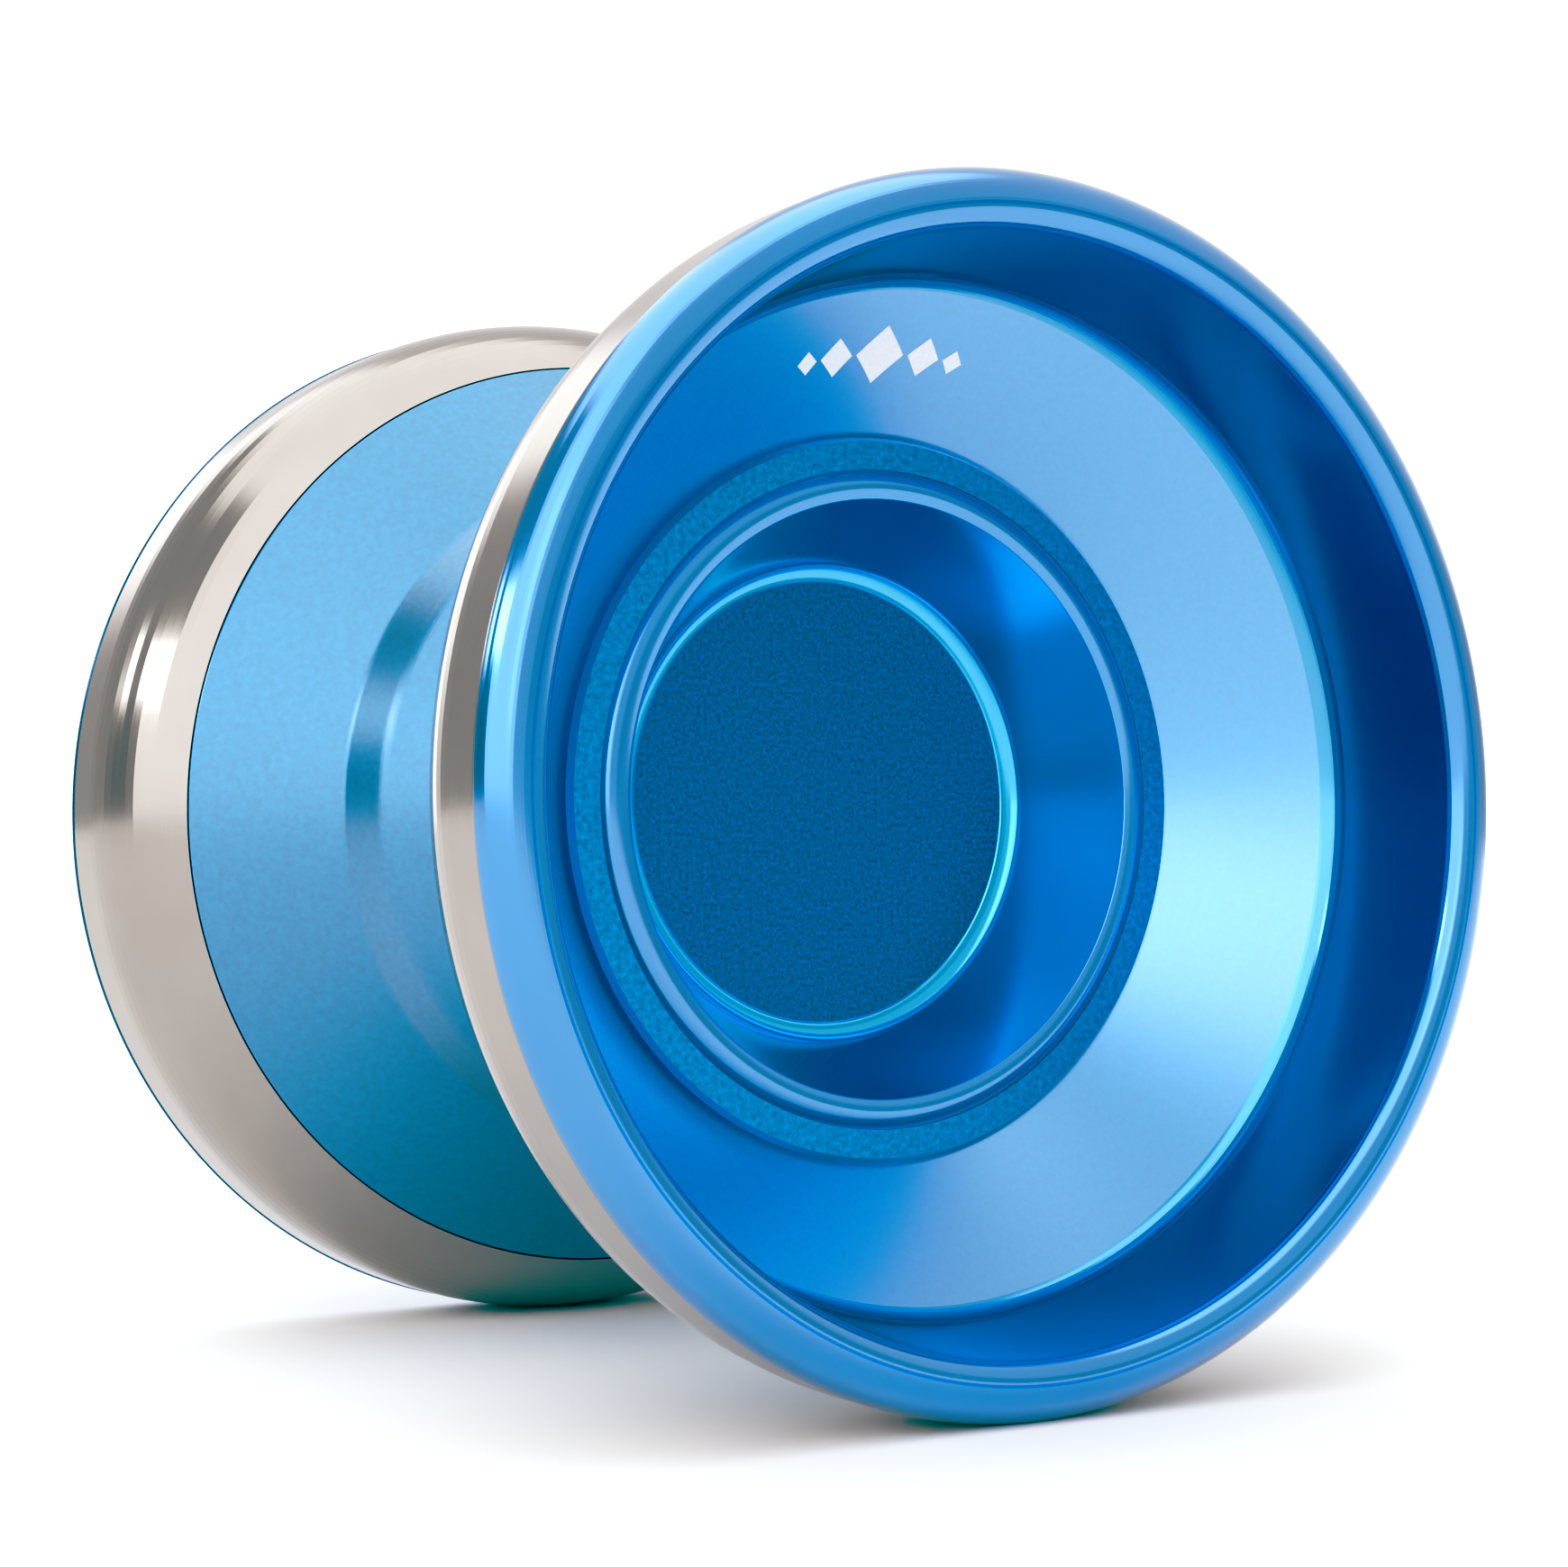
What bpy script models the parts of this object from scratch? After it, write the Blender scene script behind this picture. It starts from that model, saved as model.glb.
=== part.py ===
"""Bimetal ball-bearing yo-yo.

Two blue anodised aluminium halves, each with a steel ring pressed over its
outer edge, joined by an M4 set screw that carries a size C (R188) ball bearing.

The axle lies along Y and the origin is the middle of the bearing. The front
half is towards -Y and the rear half towards +Y. Sizes are millimetres, and the
objects are built in metres. Outlines are (radius, distance) points, where the
distance is measured along the axle from the middle plane.
"""
import math

import bpy

MM = 0.001

# Whole yo-yo
RIM_RADIUS = 28.0
HALF_WIDTH = 24.9
SEGMENTS = 32

# Lip of the cup
LIP_OUTER_ROUNDING = 1.8
LIP_INNER_ROUNDING = 1.0
LIP_LAND_INNER = 26.1
FLANGE_FACE = 23.4

# Cup, from the lip down to the floor
CUP_CORNER = (24.24, 17.03)
CUP_CORNER_ROUNDING = 1.75
CONE_FOOT = (17.42, 11.62)
RING_LAND = 12.0
RING_LAND_OUTER = 17.2
BEAD_OUTER = 15.85
BEAD_CREST = (15.1, 12.35)
BEAD_EDGE = (14.4, 12.2)
RECESS_FOOT = (11.65, 6.4)
RECESS_ROUNDING = 0.9
CUP_FLOOR = 6.4

# String gap side, from the seam with the steel ring down to the bearing seat
SEAM = (24.75, 15.16)
GAP_CORNER = (18.4, 10.15)
GAP_CORNER_ROUNDING = 0.9
HUB_SHOULDER = (17.4, 7.7)
HUB_SHOULDER_ROUNDING = 2.0
HUB_CORNER = (13.3, 3.8)
HUB_ROUNDING = 3.0
RESPONSE_FACE = 2.27
RESPONSE_OUTER = 10.2
PAD_GROOVE_INNER = 7.35
PAD_GROOVE_OUTER = 9.6
PAD_GROOVE_DEPTH = 1.06
POCKET_RADIUS = 6.55
POCKET_FLOOR = 2.75
SHOULDER_RADIUS = 3.95
SHOULDER_FACE = 2.42
SEAT_RADIUS = 3.12
SEAT_END = 0.4
SEAT_CHAMFER = 0.22

# Seat of the steel ring on the aluminium
RING_SEAT_RADIUS = 27.05
RING_SEAT_START = 19.8
RING_NOSE_DEPTH = 1.0
FIT_GAP = 0.06

# Outer face of the steel ring: it carries on the gap wall's cone and rounds into a cylinder
RING_RADIUS = 27.95
RING_ROUNDING = 6.5
RING_END = 23.35

# Axle: M4 x 10 set screw
AXLE_RADIUS = 2.0
AXLE_LENGTH = 10.0
AXLE_CHAMFER = 0.4
AXLE_SEGMENTS = 24
HEX_ACROSS_FLATS = 2.0
HEX_DEPTH = 2.0
THREAD_HOLE_RADIUS = 2.06
THREAD_HOLE_END = 5.3
THREAD_HOLE_CHAMFER = 0.22

# Bearing: size C, R188
BEARING_BORE = 3.175
BEARING_RADIUS = 6.35
BEARING_HALF_WIDTH = 2.38
BEARING_CHAMFER = 0.2
BALL_COUNT = 8
BALL_RADIUS = 0.79375
PITCH_RADIUS = 4.7625
RACEWAY_RADIUS = 0.85
INNER_LAND = 4.22
OUTER_LAND = 5.3
SHIELD_SEAT_RADIUS = 5.76
SHIELD_SEAT_FACE = 1.55
CLIP_GROOVE_RADIUS = 5.94
CLIP_GROOVE_NEAR = 1.78
CLIP_GROOVE_FAR = 2.08
MOUTH_RADIUS = 5.74

CAGE_INNER = 4.4
CAGE_OUTER = 5.12
CAGE_BACK = -1.4
CAGE_FRONT = 0.35
CAGE_POCKET_RADIUS = 0.87

SHIELD_INNER = 4.3
SHIELD_OUTER = 5.7
SHIELD_THICKNESS = 0.15
SHIELD_FLANGE_FACE = 1.58
SHIELD_DISH = 0.28
SHIELD_DISH_INNER = 4.9
SHIELD_DISH_OUTER = 5.2

CLIP_INNER = 5.36
CLIP_OUTER = 5.88
CLIP_NEAR = 1.82
CLIP_FAR = 2.04
CLIP_OPENING = 1.6

# Response pads
PAD_INNER = 7.41
PAD_OUTER = 9.54
PAD_FACE = 2.33
PAD_BACK = 3.27
PAD_ROUNDING = 0.25

ARC_STEP_DEG = 24.0
ARC_CHORD = 2.5
FRONT = -1
REAR = 1


def clear_scene():
    for item in list(bpy.data.objects):
        bpy.data.objects.remove(item, do_unlink=True)


def new_collection(name):
    group = bpy.data.collections.new(name)
    bpy.context.scene.collection.children.link(group)
    return group


def metal(name, colour, roughness, metallic=1.0):
    material = bpy.data.materials.new(name)
    material.use_nodes = True
    shader = material.node_tree.nodes["Principled BSDF"]
    shader.inputs["Base Color"].default_value = (*colour, 1.0)
    shader.inputs["Roughness"].default_value = roughness
    shader.inputs["Metallic"].default_value = metallic
    return material


# ---------------------------------------------------------------- outlines

def arc(centre, radius, start_deg, end_deg):
    """Points of an arc, both ends included, no coarser than ARC_STEP_DEG and ARC_CHORD."""
    sweep = abs(end_deg - start_deg)
    length = math.radians(sweep) * radius
    steps = max(2, math.ceil(sweep / ARC_STEP_DEG), math.ceil(length / ARC_CHORD))
    points = []
    for i in range(steps + 1):
        angle = math.radians(start_deg + (end_deg - start_deg) * i / steps)
        points.append((centre[0] + radius * math.cos(angle), centre[1] + radius * math.sin(angle)))
    return points


def arc_through(first, middle, last):
    """Points of the arc that runs from first to last through middle."""
    (ax, ay), (bx, by), (cx, cy) = first, middle, last
    d = 2 * (ax * (by - cy) + bx * (cy - ay) + cx * (ay - by))
    a2, b2, c2 = ax * ax + ay * ay, bx * bx + by * by, cx * cx + cy * cy
    ux = (a2 * (by - cy) + b2 * (cy - ay) + c2 * (ay - by)) / d
    uy = (a2 * (cx - bx) + b2 * (ax - cx) + c2 * (bx - ax)) / d
    start = math.degrees(math.atan2(ay - uy, ax - ux))
    end = math.degrees(math.atan2(cy - uy, cx - ux))
    middle_angle = math.degrees(math.atan2(by - uy, bx - ux))
    if (middle_angle - start) % 360 > (end - start) % 360:
        end = start - (start - end) % 360
    else:
        end = start + (end - start) % 360
    return arc((ux, uy), math.hypot(ax - ux, ay - uy), start, end)


def rounded(before, corner, after, radius):
    """Points of the arc of the given radius that rounds off a corner."""
    to_before = math.atan2(before[1] - corner[1], before[0] - corner[0])
    to_after = math.atan2(after[1] - corner[1], after[0] - corner[0])
    opening = (to_after - to_before + math.pi) % (2 * math.pi) - math.pi
    half = opening / 2
    reach = radius / abs(math.sin(half))
    bisector = to_before + half
    centre = (corner[0] + reach * math.cos(bisector), corner[1] + reach * math.sin(bisector))
    turn = math.copysign(math.pi - abs(opening), -opening)
    start = to_before - math.copysign(math.pi / 2, opening)
    return arc(centre, radius, math.degrees(start), math.degrees(start + turn))


def threaded_hole():
    """Blind hole for the axle, from its bottom on the axis up to its mouth."""
    return [
        (0, THREAD_HOLE_END),
        (THREAD_HOLE_RADIUS - THREAD_HOLE_CHAMFER, THREAD_HOLE_END),
        (THREAD_HOLE_RADIUS, THREAD_HOLE_END - THREAD_HOLE_CHAMFER),
        (THREAD_HOLE_RADIUS, SEAT_END + THREAD_HOLE_CHAMFER),
        (THREAD_HOLE_RADIUS + THREAD_HOLE_CHAMFER, SEAT_END),
    ]


def bearing_seat():
    """Post inside the inner race, shoulder behind it and pocket around the bearing."""
    return [
        (SEAT_RADIUS - SEAT_CHAMFER, SEAT_END),
        (SEAT_RADIUS, SEAT_END + SEAT_CHAMFER),
        (SEAT_RADIUS, SHOULDER_FACE),
        (SHOULDER_RADIUS, SHOULDER_FACE),
        (SHOULDER_RADIUS, POCKET_FLOOR),
        (POCKET_RADIUS, POCKET_FLOOR),
        (POCKET_RADIUS, RESPONSE_FACE),
    ]


def string_gap_wall():
    """Response face with its pad groove, hub and cone, out to the steel ring's seat."""
    groove_floor = RESPONSE_FACE + PAD_GROOVE_DEPTH
    response_edge = (RESPONSE_OUTER, RESPONSE_FACE)
    return [
        (PAD_GROOVE_INNER, RESPONSE_FACE),
        (PAD_GROOVE_INNER, groove_floor),
        (PAD_GROOVE_OUTER, groove_floor),
        (PAD_GROOVE_OUTER, RESPONSE_FACE),
        response_edge,
        *rounded(response_edge, HUB_CORNER, HUB_SHOULDER, HUB_ROUNDING),
        *rounded(HUB_CORNER, HUB_SHOULDER, GAP_CORNER, HUB_SHOULDER_ROUNDING),
        *rounded(HUB_SHOULDER, GAP_CORNER, SEAM, GAP_CORNER_ROUNDING),
        SEAM,
        (SEAM[0], SEAM[1] + RING_NOSE_DEPTH),
        (RING_SEAT_RADIUS, RING_SEAT_START),
        (RING_SEAT_RADIUS, FLANGE_FACE),
    ]


def lip():
    """Large outer rounding from the flange face, narrow crest and small inner rounding."""
    outer_height = HALF_WIDTH - LIP_OUTER_ROUNDING
    start = math.asin((FLANGE_FACE - outer_height) / LIP_OUTER_ROUNDING)
    outer_centre = (RIM_RADIUS - LIP_OUTER_ROUNDING * math.cos(start), outer_height)
    inner_centre = (LIP_LAND_INNER, HALF_WIDTH - LIP_INNER_ROUNDING)
    return [
        *arc(outer_centre, LIP_OUTER_ROUNDING, math.degrees(start), 90),
        *arc(inner_centre, LIP_INNER_ROUNDING, 90, 180),
    ]


def cup():
    """Inner wall, wide cone, raised ring, bead, recess and floor of the cup."""
    wall_top = (LIP_LAND_INNER - LIP_INNER_ROUNDING, HALF_WIDTH - LIP_INNER_ROUNDING)
    return [
        *rounded(wall_top, CUP_CORNER, CONE_FOOT, CUP_CORNER_ROUNDING),
        CONE_FOOT,
        (RING_LAND_OUTER, RING_LAND),
        *arc_through((BEAD_OUTER, RING_LAND), BEAD_CREST, BEAD_EDGE),
        *rounded(BEAD_EDGE, RECESS_FOOT, (0, CUP_FLOOR), RECESS_ROUNDING),
        (0, CUP_FLOOR),
    ]


def half_body_outline():
    return threaded_hole() + bearing_seat() + string_gap_wall() + lip() + cup()


def rim_ring_outline():
    slope = (SEAM[1] - GAP_CORNER[1]) / (SEAM[0] - GAP_CORNER[0])
    nose = (SEAM[0] + FIT_GAP, SEAM[1] + FIT_GAP * slope)
    corner = (RING_RADIUS, SEAM[1] + (RING_RADIUS - SEAM[0]) * slope)
    outer_end = (RING_RADIUS, RING_END)
    bore = RING_SEAT_RADIUS + FIT_GAP
    return [
        nose,
        *rounded(nose, corner, outer_end, RING_ROUNDING),
        outer_end,
        (bore, RING_END),
        (bore, RING_SEAT_START),
        (nose[0], nose[1] + RING_NOSE_DEPTH),
    ]


def pad_outline():
    return [
        (PAD_INNER, PAD_BACK),
        (PAD_INNER, PAD_FACE + PAD_ROUNDING),
        (PAD_INNER + PAD_ROUNDING, PAD_FACE),
        (PAD_OUTER - PAD_ROUNDING, PAD_FACE),
        (PAD_OUTER, PAD_FACE + PAD_ROUNDING),
        (PAD_OUTER, PAD_BACK),
    ]


def raceway(land):
    """Groove for the balls, cut into the land of one race, from -Y to +Y."""
    side = math.copysign(1, land - PITCH_RADIUS)
    reach = math.degrees(math.acos(abs(land - PITCH_RADIUS) / RACEWAY_RADIUS))
    middle = 0 if side > 0 else 180
    return arc((PITCH_RADIUS, 0), RACEWAY_RADIUS, middle - side * reach, middle + side * reach)


def inner_race_outline():
    end, chamfer = BEARING_HALF_WIDTH, BEARING_CHAMFER
    return [
        (BEARING_BORE, end - chamfer),
        (BEARING_BORE, chamfer - end),
        (BEARING_BORE + chamfer, -end),
        (INNER_LAND, -end),
        *raceway(INNER_LAND),
        (INNER_LAND, end),
        (BEARING_BORE + chamfer, end),
    ]


def outer_race_bore(side):
    """Shield seat, snap ring groove and mouth at one end of the outer race."""
    points = [
        (OUTER_LAND, SHIELD_SEAT_FACE),
        (SHIELD_SEAT_RADIUS, SHIELD_SEAT_FACE),
        (SHIELD_SEAT_RADIUS, CLIP_GROOVE_NEAR),
        (CLIP_GROOVE_RADIUS, CLIP_GROOVE_NEAR),
        (CLIP_GROOVE_RADIUS, CLIP_GROOVE_FAR),
        (MOUTH_RADIUS, CLIP_GROOVE_FAR),
        (MOUTH_RADIUS, BEARING_HALF_WIDTH),
    ]
    return [(radius, side * height) for radius, height in points[::side]]


def outer_race_outline():
    end, chamfer = BEARING_HALF_WIDTH, BEARING_CHAMFER
    return [
        *outer_race_bore(FRONT),
        *raceway(OUTER_LAND),
        *outer_race_bore(REAR),
        (BEARING_RADIUS - chamfer, end),
        (BEARING_RADIUS, end - chamfer),
        (BEARING_RADIUS, chamfer - end),
        (BEARING_RADIUS - chamfer, -end),
    ]


def shield_outline():
    """Thin dished washer: its rim lies on the seat and its middle stands further out."""
    low, high = SHIELD_FLANGE_FACE, SHIELD_FLANGE_FACE + SHIELD_DISH
    inside = [(SHIELD_INNER, high), (SHIELD_DISH_INNER, high), (SHIELD_DISH_OUTER, low), (SHIELD_OUTER, low)]
    outside = [(radius, height + SHIELD_THICKNESS) for radius, height in reversed(inside)]
    return inside + outside


def clip_outline():
    return [
        (CLIP_INNER, CLIP_NEAR),
        (CLIP_OUTER, CLIP_NEAR),
        (CLIP_OUTER, CLIP_FAR),
        (CLIP_INNER, CLIP_FAR),
    ]


def cage_outline():
    return [
        (CAGE_INNER, CAGE_BACK),
        (CAGE_OUTER, CAGE_BACK),
        (CAGE_OUTER, CAGE_FRONT),
        (CAGE_INNER, CAGE_FRONT),
    ]


def axle_outline():
    end = AXLE_LENGTH / 2
    return [
        (0, -end),
        (AXLE_RADIUS - AXLE_CHAMFER, -end),
        (AXLE_RADIUS, AXLE_CHAMFER - end),
        (AXLE_RADIUS, end - AXLE_CHAMFER),
        (AXLE_RADIUS - AXLE_CHAMFER, end),
        (0, end),
    ]


# ----------------------------------------------------------------- objects

def signed_area(points):
    total = 0.0
    for (x0, z0), (x1, z1) in zip(points, points[1:] + points[:1]):
        total += x0 * z1 - x1 * z0
    return total / 2


def profile_mesh(name, outline, scale):
    """Edges of the outline in the XZ plane, running down the outer side."""
    points = outline if signed_area(outline) < 0 else outline[::-1]
    vertices = [(radius * scale * MM, 0, height * MM) for radius, height in points]
    edges = [(i, i + 1) for i in range(len(points) - 1)]
    if min(radius for radius, height in points) > 0:
        edges.append((len(points) - 1, 0))
    else:
        first = next(i for i, (radius, height) in enumerate(points) if radius == 0)
        vertices, edges = open_at_axis(vertices, first)
    mesh = bpy.data.meshes.new(name)
    mesh.from_pydata(vertices, edges, [])
    return mesh


def open_at_axis(vertices, first):
    """An outline that meets the axis is an open line from one axis point to the other."""
    count = len(vertices)
    start = first if vertices[(first - 1) % count][0] == 0 else (first + 1) % count
    ordered = vertices[start:] + vertices[:start]
    return ordered, [(i, i + 1) for i in range(count - 1)]


def turned(name, outline, material, group, side=REAR, segments=SEGMENTS, on_flats=True):
    """Body turned about the axle. on_flats puts the flats, not the corners, on the true radii."""
    scale = 1 / math.cos(math.pi / segments) if on_flats else 1.0
    part = bpy.data.objects.new(name, profile_mesh(name, outline, scale))
    group.objects.link(part)
    screw = part.modifiers.new("Turn", "SCREW")
    screw.steps = screw.render_steps = segments
    screw.use_merge_vertices = True
    screw.merge_threshold = 1e-6
    part.rotation_euler = (-side * math.pi / 2, 0, 0)
    part.rotation_euler.rotate_axis("Z", math.pi / segments)
    finish(part, material)
    return part


def finish(part, material):
    part.data.materials.append(material)
    part.data.shade_smooth()


def cutter(part, group):
    part.hide_render = True
    part.display_type = "WIRE"
    for owner in list(part.users_collection):
        owner.objects.unlink(part)
    group.objects.link(part)


def cut(part, tool):
    boolean = part.modifiers.new("Cut " + tool.name, "BOOLEAN")
    boolean.operation = "DIFFERENCE"
    boolean.solver = "EXACT"
    boolean.object = tool


def around_axle(radius, index, count):
    """Place number index of count, evenly spaced around the axle."""
    angle = 2 * math.pi * (index + 0.5) / count
    return (radius * math.cos(angle) * MM, 0, radius * math.sin(angle) * MM), angle


def make_halves(parts, blue, steel, silicone):
    for side, name in ((FRONT, "front"), (REAR, "rear")):
        turned(name + "_half_body", half_body_outline(), blue, parts, side)
        turned(name + "_rim_ring", rim_ring_outline(), steel, parts, side)
        turned(name + "_response_pad", pad_outline(), silicone, parts, side)


def make_axle(parts, cutters, black_steel):
    axle = turned("axle_set_screw", axle_outline(), black_steel, parts,
                  segments=AXLE_SEGMENTS, on_flats=False)
    across_corners = HEX_ACROSS_FLATS / math.cos(math.pi / 6)
    bpy.ops.mesh.primitive_cylinder_add(
        vertices=6, radius=across_corners / 2 * MM, depth=2 * HEX_DEPTH * MM,
        location=(0, -AXLE_LENGTH / 2 * MM, 0), rotation=(math.pi / 2, 0, 0))
    socket = bpy.context.object
    socket.name = "hex_socket_cutter"
    cutter(socket, cutters)
    cut(axle, socket)


def make_bearing(parts, cutters, bearing_steel, shield_steel):
    turned("bearing_inner_race", inner_race_outline(), bearing_steel, parts)
    turned("bearing_outer_race", outer_race_outline(), bearing_steel, parts)
    for side, name in ((FRONT, "front"), (REAR, "rear")):
        turned(name + "_bearing_shield", shield_outline(), shield_steel, parts, side)
        clip = turned(name + "_shield_snap_ring", clip_outline(), shield_steel, parts, side)
        bpy.ops.mesh.primitive_cube_add(
            size=CLIP_OPENING * MM, location=(0, side * CLIP_FAR * MM, CLIP_OUTER * MM))
        opening = bpy.context.object
        opening.name = name + "_snap_ring_cutter"
        cutter(opening, cutters)
        cut(clip, opening)


def make_cage(parts, cutters, brass):
    cage = turned("ball_cage", cage_outline(), brass, parts)
    for i in range(BALL_COUNT):
        place, angle = around_axle(PITCH_RADIUS, i, BALL_COUNT)
        bpy.ops.mesh.primitive_cylinder_add(
            vertices=16, radius=CAGE_POCKET_RADIUS * MM, depth=2 * (CAGE_OUTER - CAGE_INNER) * MM,
            location=place, rotation=(0, math.pi / 2 - angle, 0))
        pocket = bpy.context.object
        pocket.name = "cage_pocket_cutter_%d" % (i + 1)
        cutter(pocket, cutters)
        cut(cage, pocket)


def make_balls(parts, ball_steel):
    for i in range(BALL_COUNT):
        place, angle = around_axle(PITCH_RADIUS, i, BALL_COUNT)
        bpy.ops.mesh.primitive_uv_sphere_add(
            segments=14, ring_count=8, radius=BALL_RADIUS * MM, location=place,
            rotation=(math.pi / 2, 0, 0))
        ball = bpy.context.object
        ball.name = "bearing_ball_%d" % (i + 1)
        for owner in list(ball.users_collection):
            owner.objects.unlink(ball)
        parts.objects.link(ball)
        finish(ball, ball_steel)


def main():
    clear_scene()
    parts = new_collection("yo_yo")
    cutters = new_collection("cutters")
    blue = metal("blue_anodised_aluminium", (0.02, 0.22, 0.62), 0.35)
    rim_steel = metal("polished_rim_steel", (0.80, 0.77, 0.73), 0.18)
    silicone = metal("silicone_pad", (0.86, 0.87, 0.88), 0.7, metallic=0.0)
    black_steel = metal("black_oxide_steel", (0.05, 0.05, 0.055), 0.4)
    bearing_steel = metal("bearing_steel", (0.70, 0.70, 0.71), 0.15)
    shield_steel = metal("shield_steel", (0.62, 0.62, 0.63), 0.3)
    cage_steel = metal("cage_steel", (0.66, 0.62, 0.55), 0.35)
    ball_steel = metal("ball_steel", (0.85, 0.85, 0.86), 0.05)
    make_halves(parts, blue, rim_steel, silicone)
    make_axle(parts, cutters, black_steel)
    make_bearing(parts, cutters, bearing_steel, shield_steel)
    make_cage(parts, cutters, cage_steel)
    make_balls(parts, ball_steel)


main()
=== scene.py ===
"""Looks of the bimetal ball-bearing yo-yo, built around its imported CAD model.

The axle lies along Y, the front half is towards -Y and the origin is the middle
of the bearing. Outlines are (radius, distance) points in millimetres, where the
distance is measured along the axle from the middle plane, as in the CAD model.
Every turned piece is remade from its outline with fine curves and with a finish
for each zone of its surface.
"""

import math

import bmesh
import bpy
from mathutils import Matrix, Vector


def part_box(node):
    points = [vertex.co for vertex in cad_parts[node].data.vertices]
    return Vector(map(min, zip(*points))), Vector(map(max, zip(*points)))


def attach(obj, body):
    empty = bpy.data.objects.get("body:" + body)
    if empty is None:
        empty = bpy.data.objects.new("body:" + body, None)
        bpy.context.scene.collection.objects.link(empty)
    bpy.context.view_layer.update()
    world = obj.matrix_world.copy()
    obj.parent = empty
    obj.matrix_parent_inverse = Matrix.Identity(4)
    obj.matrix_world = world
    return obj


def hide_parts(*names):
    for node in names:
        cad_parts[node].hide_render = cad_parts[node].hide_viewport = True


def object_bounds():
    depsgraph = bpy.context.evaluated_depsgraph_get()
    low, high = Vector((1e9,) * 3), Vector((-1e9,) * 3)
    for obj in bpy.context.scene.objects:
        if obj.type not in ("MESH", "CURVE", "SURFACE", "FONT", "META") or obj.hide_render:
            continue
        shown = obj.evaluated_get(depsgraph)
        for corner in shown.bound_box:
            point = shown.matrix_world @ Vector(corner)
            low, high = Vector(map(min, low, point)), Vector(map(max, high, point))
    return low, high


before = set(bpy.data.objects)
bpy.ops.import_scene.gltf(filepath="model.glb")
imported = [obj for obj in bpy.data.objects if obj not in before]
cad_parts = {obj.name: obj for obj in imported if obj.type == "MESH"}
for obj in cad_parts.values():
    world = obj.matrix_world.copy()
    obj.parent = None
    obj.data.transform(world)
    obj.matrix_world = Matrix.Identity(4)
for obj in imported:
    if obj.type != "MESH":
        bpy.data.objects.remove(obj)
cad_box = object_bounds()

MM = 0.001
FRONT = -1
REAR = 1
SIDES = ((FRONT, "front"), (REAR, "rear"))


def reach(node, axis):
    """Largest coordinate of a CAD node along an axis, in millimetres, to a hundredth."""
    return round(max(abs(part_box(node)[0][axis]), abs(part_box(node)[1][axis])) / MM, 2)


# Whole yo-yo
RIM_RADIUS = reach("front_half_body", 0)
HALF_WIDTH = reach("front_half_body", 1)
TURN_SEGMENTS = 256
SMALL_SEGMENTS = 128

# Lip of the cup
LIP_OUTER_ROUNDING = 1.8
LIP_INNER_ROUNDING = 1.0
LIP_LAND_INNER = 26.1
FLANGE_FACE = 23.4

# Cup, from the lip down to the floor
CUP_CORNER = (24.24, 17.03)
CUP_CORNER_ROUNDING = 1.75
CONE_FOOT = (17.42, 11.62)
RING_LAND = 12.0
RING_LAND_OUTER = 17.2
BEAD_OUTER = 15.85
BEAD_CREST = (15.1, 12.35)
BEAD_EDGE = (14.4, 12.2)
BEAD_EDGE_ROUNDING = 0.12
RECESS_FOOT = (11.65, 6.4)
RECESS_ROUNDING = 0.9
CUP_FLOOR = 6.4
FLOOR_LINE_RADIUS = 10.95
FLOOR_LINE_WIDTH = 0.12
FLOOR_LINE_DEPTH = 0.05

# String gap side, from the seam with the steel ring down to the bearing seat
SEAM = (24.75, 15.16)
SEAM_CHAMFER = 0.06
GAP_CORNER = (18.4, 10.15)
GAP_CORNER_ROUNDING = 0.9
HUB_SHOULDER = (17.4, 7.7)
HUB_SHOULDER_ROUNDING = 2.0
HUB_CORNER = (13.3, 3.8)
HUB_ROUNDING = 3.0
RESPONSE_FACE = 2.27
RESPONSE_OUTER = 10.2
PAD_GROOVE_INNER = 7.35
PAD_GROOVE_OUTER = 9.6
PAD_GROOVE_DEPTH = 1.06
POCKET_RADIUS = 6.55
POCKET_FLOOR = 2.75
SHOULDER_RADIUS = 3.95
SHOULDER_FACE = 2.42
SEAT_RADIUS = 3.12
SEAT_END = 0.4
SEAT_CHAMFER = 0.22

# Seat of the steel ring on the aluminium
RING_SEAT_RADIUS = 27.05
RING_SEAT_START = 19.8
RING_NOSE_DEPTH = 1.0
FIT_GAP = 0.06
RING_RADIUS = 27.95
RING_ROUNDING = 6.5
RING_END = 23.35
RING_EDGE_ROUNDING = 0.2

# Axle: M4 set screw
AXLE_RADIUS = reach("axle_set_screw", 0)
AXLE_END = reach("axle_set_screw", 1)
THREAD_PITCH = 0.7
THREAD_DEPTH = 0.38
THREAD_LAND = 0.12
THREAD_SEGMENTS = 72
THREAD_ROWS_PER_TURN = 12
AXLE_CHAMFER = 0.4
HEX_ACROSS_FLATS = 2.0
HEX_DEPTH = 2.0
THREAD_HOLE_RADIUS = 2.06
THREAD_HOLE_END = 5.3
THREAD_HOLE_CHAMFER = 0.22

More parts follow.
